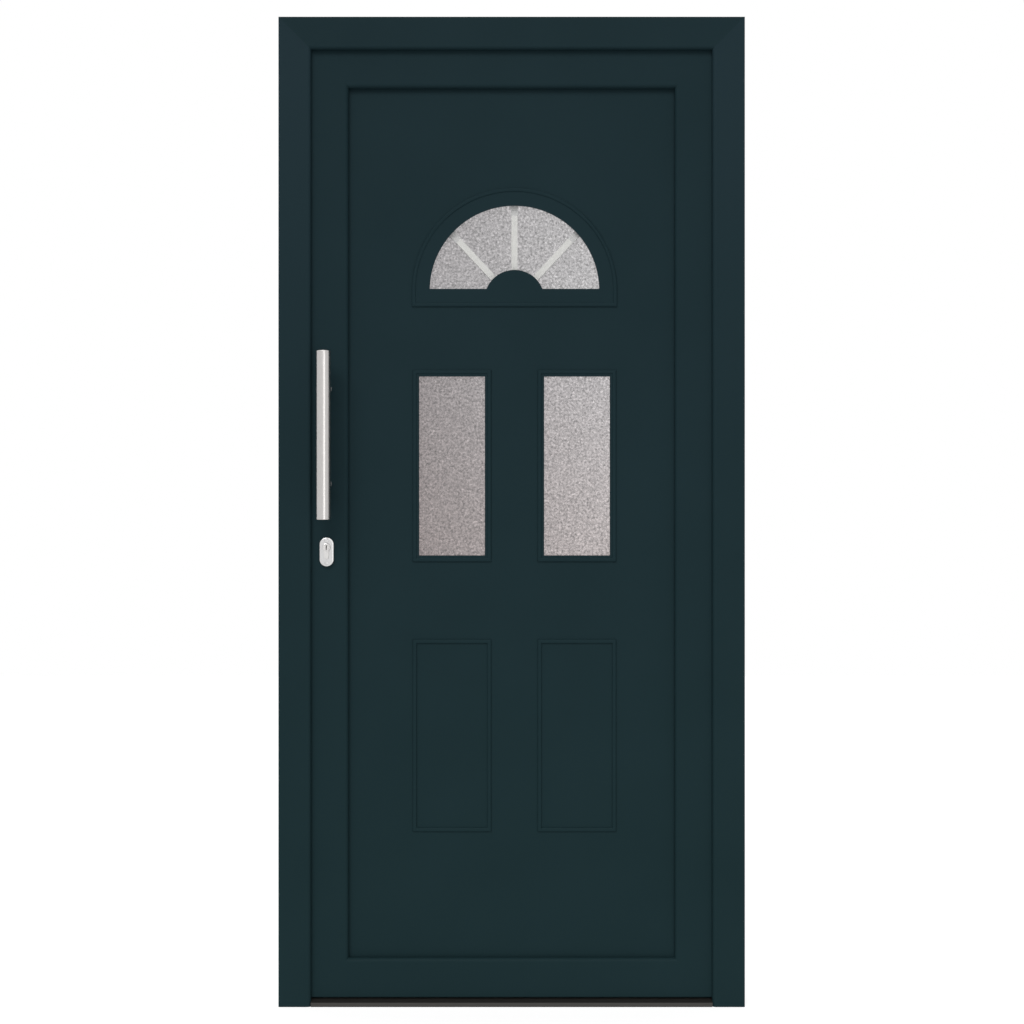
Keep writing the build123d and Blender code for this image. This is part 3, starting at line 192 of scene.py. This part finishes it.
class Surface:
    """A material with one Principled shader, and short calls for the textures that feed it."""

    def __init__(self, name):
        self.material = bpy.data.materials.new(name)
        self.material.use_nodes = True
        self.tree = self.material.node_tree
        self.place = self.node("ShaderNodeTexCoord").outputs["Object"]

    def node(self, kind, inputs=None, **settings):
        return add_node(self.tree, kind, inputs, **settings)

    def feed(self, inputs):
        """Inputs of the shader itself."""
        set_inputs(self.tree, self.tree.nodes["Principled BSDF"], inputs)

    def noise(self, scale, detail=2.0, stretch=(1, 1, 1)):
        """Soft noise from 0 to 1, with scale in waves per metre, finer along some axes."""
        place = self.node("ShaderNodeMapping", {"Vector": self.place, "Scale": stretch}).outputs[0]
        inputs = {"Vector": place, "Scale": scale, "Detail": detail}
        return self.node("ShaderNodeTexNoise", inputs).outputs[0]

    def cells(self, scale):
        """Distances inside small cells, with scale in cells per metre."""
        inputs = {"Vector": self.place, "Scale": scale}
        return self.node("ShaderNodeTexVoronoi", inputs).outputs["Distance"]

    def spread(self, value, low=0, high=1, start=0.3, end=0.7):
        """A value that goes from low to high as another goes from start to end."""
        inputs = {"Value": value, "From Min": start, "From Max": end, "To Min": low, "To Max": high}
        return self.node("ShaderNodeMapRange", inputs).outputs[0]

    def along(self, axis, start, end, high=1):
        """A value that goes from 0 to high between two places on an axis."""
        place = self.node("ShaderNodeSeparateXYZ", {"Vector": self.place}).outputs[axis]
        return self.spread(place, 0, high, start, end)

    def tint(self, share, dark, light):
        """A colour between two colours."""
        inputs = {0: share, 6: dark, 7: light}
        return self.node("ShaderNodeMix", inputs, data_type="RGBA").outputs[2]

    def scaled(self, colour, level):
        """A colour made lighter or darker."""
        inputs = {0: colour, "Scale": level}
        return self.node("ShaderNodeVectorMath", inputs, operation="SCALE").outputs[0]

    def product(self, colour, other):
        """One colour seen through another."""
        inputs = {0: colour, 1: other}
        return self.node("ShaderNodeVectorMath", inputs, operation="MULTIPLY").outputs[0]

    def total(self, value, other):
        return self.node("ShaderNodeMath", {0: value, 1: other}, operation="ADD").outputs[0]

    def relief(self, height, strength, depth):
        """A bumpy surface, from a texture that is its height."""
        inputs = {"Height": height, "Strength": strength, "Distance": depth}
        return self.node("ShaderNodeBump", inputs).outputs[0]


def foil(name, painted_sheen):
    """Smooth foil on plastic: a fine pebble and a slow drift in tone, painted light that tints it
    greener towards the foot, and a painted sheen that makes a jamb paler near its top.
    """
    surface = Surface(name)
    pebble = surface.noise(scale=1400.0)
    tone = surface.tint(surface.spread(surface.noise(scale=5.0)), *FOIL_TONES)
    # Painted light: the foil is tinted greener towards the door's foot
    painted_foot_tint = surface.tint(surface.along("Z", *FOOT_PAINTED_LIGHT_HEIGHTS), FOIL_FOOT_PAINTED_LIGHT, WHITE)
    tone = surface.product(tone, painted_foot_tint)
    # Painted sheen: a jamb's foil turns paler towards its top
    if painted_sheen:
        tone = surface.tint(surface.along("Z", *PAINTED_SHEEN_HEIGHTS), tone, FOIL_PAINTED_SHEEN)
    surface.feed({
        "Base Color": tone,
        "Specular IOR Level": FOIL_GLOSS,
        "Roughness": surface.spread(pebble, low=0.5, high=0.62),
        "Normal": surface.relief(pebble, strength=0.12, depth=0.0002),
    })
    return surface.material


def dull(name, tones, scale=500.0, roughest=0.65, strength=0.1):
    """Plastic, foam or rubber, with a fine grain."""
    surface = Surface(name)
    grain = surface.noise(scale)
    surface.feed({
        "Base Color": surface.tint(grain, *tones),
        "Specular IOR Level": 0.3,
        "Roughness": surface.spread(grain, low=0.5, high=roughest),
        "Normal": surface.relief(grain, strength, depth=0.0003),
    })
    return surface.material


def brushed(name, tones, lengthwise, rough, metal=1.0, posts=False):
    """Brushed metal, with its fine lines drawn out along one axis. The pull bar's posts are duller."""
    surface = Surface(name)
    stretch = tuple(1.0 if axis == lengthwise else BRUSH_FINENESS for axis in "XYZ")
    lines = surface.noise(scale=40.0, detail=3.0, stretch=stretch)
    roughness = surface.spread(lines, rough - BRUSH_VARIATION, rough + BRUSH_VARIATION)
    if posts:
        roughness = surface.total(roughness, surface.along("Y", *POST_DEPTHS, high=POST_DULLNESS))
    surface.feed({
        "Base Color": surface.tint(surface.spread(lines), *tones),
        "Metallic": metal,
        "Roughness": roughness,
        "Normal": surface.relief(lines, strength=0.03, depth=0.0001),
    })
    return surface.material


def zinc(name):
    """Zinc plate, with faint flakes."""
    surface = Surface(name)
    flakes = surface.cells(scale=260.0)
    surface.feed({
        "Base Color": surface.tint(surface.spread(flakes, start=0, end=FLAKE_SIZE), *ZINC_TONES),
        "Metallic": 1.0,
        "Roughness": surface.spread(flakes, low=0.3, high=0.48, start=0, end=FLAKE_SIZE),
        "Normal": surface.relief(flakes, strength=0.05, depth=0.0002),
    })
    return surface.material


def clear_glass(name):
    """An outer pane: clear, with a faint sheen."""
    surface = Surface(name)
    surface.feed({
        "Base Color": CLEAR_PANE,
        "Alpha": 0.05,
        "Roughness": surface.spread(surface.noise(scale=9.0), low=0.03, high=0.07),
    })
    return surface.material


def grained_glass(name, left, right):
    """An inner pane: obscured glass with a grain and painted glints, painted shade that darkens it to
    the left, and painted shade that darkens and warms its foot.
    """
    surface = Surface(name)
    grain = surface.noise(scale=200.0)
    # Painted glints: bright specks put into the pane's colour
    painted_glint_noise = surface.noise(scale=290.0, detail=1.0)
    # Painted shade: the pane grows darker to the left, and darker and warmer at its foot
    tone = surface.tint(surface.along("X", *PANE_SHADE_SIDES), left, right)
    painted_foot_tint = surface.tint(surface.along("Z", *PANE_SHADE_HEIGHTS), PANE_FOOT_SHADE, WHITE)
    shade = surface.spread(grain, low=0.32, high=1.47)
    painted_glitter = surface.spread(painted_glint_noise, high=0.95, start=0.55, end=0.72)
    surface.feed({
        "Base Color": surface.scaled(surface.product(tone, painted_foot_tint), surface.total(shade, painted_glitter)),
        "Transmission Weight": 1.0,
        "IOR": 1.2,
        "Roughness": surface.spread(painted_glint_noise, low=0.2, high=0.4),
        "Normal": surface.relief(grain, strength=0.3, depth=0.0006),
    })
    return surface.material


# The finish of each material slot, and those of single nodes that differ from it
FINISHES = {
    "door_finish": foil("foil", painted_sheen=False),
    "galvanised_steel": zinc("zinc_plate"),
    "seal_rubber": dull("sealing_rubber", RUBBER_TONES, scale=300.0, roughest=0.7, strength=0.15),
    "threshold_aluminium": brushed("dark_aluminium", THRESHOLD_TONES, "X", rough=0.4, metal=0.7),
    "base_plastic": dull("black_plastic", BLACK_TONES),
    "foam_core": dull("foam", FOAM_TONES),
    "clear_glass": clear_glass("clear_glass"),
    "textured_glass": grained_glass("window_glass", *WINDOW_TONES_AND_SHADE),
    "spacer_aluminium": brushed("plain_aluminium", SPACER_TONES, "Z", rough=0.35),
    "bar_white": dull("off_white", OFF_WHITE_TONES),
    "stainless": brushed("stainless", STEEL_TONES, "Z", rough=0.27),
    "nickel": brushed("satin_nickel", NICKEL_TONES, "Z", rough=0.25),
}
NODE_FINISHES = {
    "fan_bar_clips": dull("grey_clip", CLIP_TONES),
    "escutcheon": brushed("bright_steel", BRIGHT_TONES, "Z", rough=0.24),
    "fan_pane_inner": grained_glass("fan_glass", *FAN_TONES_AND_SHADE),
    "pull_bar": brushed("bar_steel", STEEL_TONES, "Z", rough=0.27, posts=True),
}
# The jambs' foil carries a painted sheen near their top
NODE_FINISHES["frame_jamb_left"] = NODE_FINISHES["frame_jamb_right"] = foil("jamb_foil_painted_sheen", painted_sheen=True)
for part in frame["record"]["subparts"]:
    mesh = NODES[part["node"]].data
    mesh.materials.clear()
    mesh.materials.append(NODE_FINISHES.get(part["node"], FINISHES[part["material_slot"]]))


def turned_pieces(name, body, finish, rings, radius, facing, places, closed=True):
    """Small round pieces of one kind, such as screw heads, joined as one piece that rides on a body."""
    built = bmesh.new()
    turn = Vector(facing).to_track_quat("Z", "Y").to_matrix().to_4x4()
    angles = [math.tau * step / SEGMENTS for step in range(SEGMENTS)]
    for place in places:
        seat = Matrix.Translation(place) @ turn
        loops = []
        for reach, lobe, height in rings:
            spans = [radius * (reach + lobe * math.cos(LOBES * angle)) for angle in angles]
            corners = [
                (span * math.cos(angle), span * math.sin(angle), radius * height)
                for span, angle in zip(spans, angles)
            ]
            loops.append([built.verts.new(seat @ Vector(corner)) for corner in corners])
        for low, high in zip(loops, loops[1:]):
            for step in range(SEGMENTS):
                after = (step + 1) % SEGMENTS
                built.faces.new((low[step], low[after], high[after], high[step]))
        if closed:
            built.faces.new(loops[-1])
    mesh = bpy.data.meshes.new(name)
    built.to_mesh(mesh)
    built.free()
    mesh.materials.append(finish)
    piece = add_object(name, mesh)
    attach(piece, body)


def add_screws():
    """The heads of the screws that hold the plates, the strikes and the hinges."""
    plate_low, plate_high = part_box("escutcheon")
    lever_low, lever_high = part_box("lever_plate")
    strikes = [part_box("strike_plate_" + name) for name in ("lower", "centre", "upper")]
    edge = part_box("lock_faceplate")[0].x
    middle = (plate_low.z + plate_high.z) / 2
    plate_z = (middle - ESCUTCHEON_SCREW_STEP, middle + ESCUTCHEON_SCREW_STEP)
    lever_z = (lever_low.z + LEVER_SCREW_INSET, lever_high.z - LEVER_SCREW_INSET)
    strike_places = [
        (high.x, LOCK_Y, z)
        for low, high in strikes
        for z in (low.z + STRIKE_SCREW_INSET, high.z - STRIKE_SCREW_INSET)
    ]
    hinge_z = [z + step for z in HINGE_HEIGHTS for step in (-HINGE_SCREW_STEP, HINGE_SCREW_STEP)]
    kinds = (
        ("escutcheon_screws", "sash", "stainless", TO_STREET,
         [(LOCK_AXIS_X, plate_low.y, z) for z in plate_z]),
        ("lever_plate_screws", "sash", "stainless", TO_ROOM,
         [(LOCK_AXIS_X, lever_high.y, z) for z in lever_z]),
        ("strike_screws", "frame", "galvanised_steel", TO_HINGES, strike_places),
        ("faceplate_screws", "sash", "galvanised_steel", TO_LOCK_JAMB,
         [(edge, LOCK_Y, z) for z in FACEPLATE_SCREW_HEIGHTS]),
        ("hinge_frame_screws", "frame", "stainless", TO_ROOM,
         [(FRAME_LEAF_X, FRAME_LEAF_Y, z) for z in hinge_z]),
        ("hinge_sash_screws", "sash", "stainless", TO_ROOM,
         [(SASH_LEAF_X, SASH_LEAF_Y, z) for z in hinge_z]),
    )
    finishes = {
        "stainless": NODE_FINISHES["escutcheon"],
        "galvanised_steel": FINISHES["galvanised_steel"],
    }
    for name, body, slot, facing, places in kinds:
        radius = SCREW_RADII[name]
        turned_pieces(name, body, finishes[slot], SCREW_RINGS, radius, facing, places)


def add_collars():
    """Raised collars round the cylinder's plug, outside and inside."""
    low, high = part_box("lock_cylinder")
    finish = FINISHES["nickel"]
    for name, y, facing in (("collar_outer", low.y, TO_STREET), ("collar_inner", high.y, TO_ROOM)):
        places = [(LOCK_AXIS_X, y, LOCK_Z)]
        turned_pieces(name, "sash", finish, COLLAR_RINGS, COLLAR_RADIUS, facing, places, False)


def add_light(name, kind, travel, **settings):
    """A lamp that shines one way, and that neither the camera nor the glass shows."""
    lamp = bpy.data.lights.new(name, kind)
    for key, value in settings.items():
        setattr(lamp, key, value)
    holder = add_object(name, lamp)
    holder.rotation_mode = "QUATERNION"
    holder.rotation_quaternion = Vector(travel).to_track_quat("-Z", "Y")
    holder.visible_camera = False
    holder.visible_transmission = False
    return holder


def add_lights():
    for name, (travel, strength, width) in SUNS.items():
        add_light(name, "SUN", travel, energy=strength, angle=width)
    travel = Vector(STRIP_AIM) - Vector(STRIP_PLACE)
    sizes = {"shape": "RECTANGLE", "size": STRIP_WIDTH, "size_y": STRIP_HEIGHT}
    add_light("strip", "AREA", travel, energy=STRIP_POWER, **sizes).location = STRIP_PLACE


def seen_share(tree):
    """1 for what the camera, gloss or glass sees directly, and 0 for light that falls on a surface."""
    rays = add_node(tree, "ShaderNodeLightPath").outputs
    share = rays["Is Camera Ray"]
    for name in ("Is Glossy Ray", "Is Transmission Ray"):
        inputs = {0: share, 1: rays[name]}
        share = add_node(tree, "ShaderNodeMath", inputs, operation="MAXIMUM").outputs[0]
    return share


def make_floor():
    mesh = bpy.data.meshes.new("floor")
    reach = FLOOR_REACH
    corners = [(-reach, -reach, 0), (reach, -reach, 0), (reach, reach, 0), (-reach, reach, 0)]
    mesh.from_pydata(corners, [], [(0, 1, 2, 3)])
    floor = add_object("floor", mesh)
    material = bpy.data.materials.new("pale_floor")
    material.use_nodes = True
    tree = material.node_tree
    inputs = {"Value": seen_share(tree), "To Min": FLOOR_BOUNCE, "To Max": FLOOR_GLOW}
    glow = add_node(tree, "ShaderNodeMapRange", inputs)
    set_inputs(tree, tree.nodes["Principled BSDF"], {
        "Base Color": FLOOR_COLOUR,
        "Specular IOR Level": 0,
        "Roughness": 1,
        "Emission Color": WHITE,
        "Emission Strength": glow.outputs[0],
    })
    mesh.materials.append(material)


def make_world():
    """A white surround for what is seen, and for light a dome that is darker on the street side."""
    world = bpy.data.worlds.new("studio")
    bpy.context.scene.world = world
    world.use_nodes = True
    tree = world.node_tree
    tree.nodes.clear()
    place = add_node(tree, "ShaderNodeTexCoord").outputs["Generated"]
    inputs = {
        "Value": add_node(tree, "ShaderNodeSeparateXYZ", {0: place}).outputs["Y"],
        "From Min": -DOME_BLEND,
        "From Max": DOME_BLEND,
        "To Min": DOME_FRONT,
        "To Max": DOME_BACK,
    }
    level = add_node(tree, "ShaderNodeMapRange", inputs, interpolation_type="SMOOTHSTEP").outputs[0]
    dome = add_node(tree, "ShaderNodeBackground", {"Color": WHITE, "Strength": level}).outputs[0]
    white = add_node(tree, "ShaderNodeBackground", {"Color": WHITE}).outputs[0]
    inputs = {0: seen_share(tree), 1: dome, 2: white}
    surround = add_node(tree, "ShaderNodeMixShader", inputs).outputs[0]
    add_node(tree, "ShaderNodeOutputWorld", {"Surface": surround})


def make_camera():
    data = bpy.data.cameras.new("camera")
    data.lens = CAMERA_LENS
    data.sensor_width = SENSOR_WIDTH
    data.clip_end = CAMERA_REACH
    camera = add_object("camera", data)
    camera.location = CAMERA_PLACE
    camera.rotation_euler = CAMERA_TURN
    bpy.context.scene.camera = camera


add_screws()
add_collars()
make_floor()
make_world()
make_camera()
add_lights()
bpy.context.scene.view_settings.view_transform = "Standard"
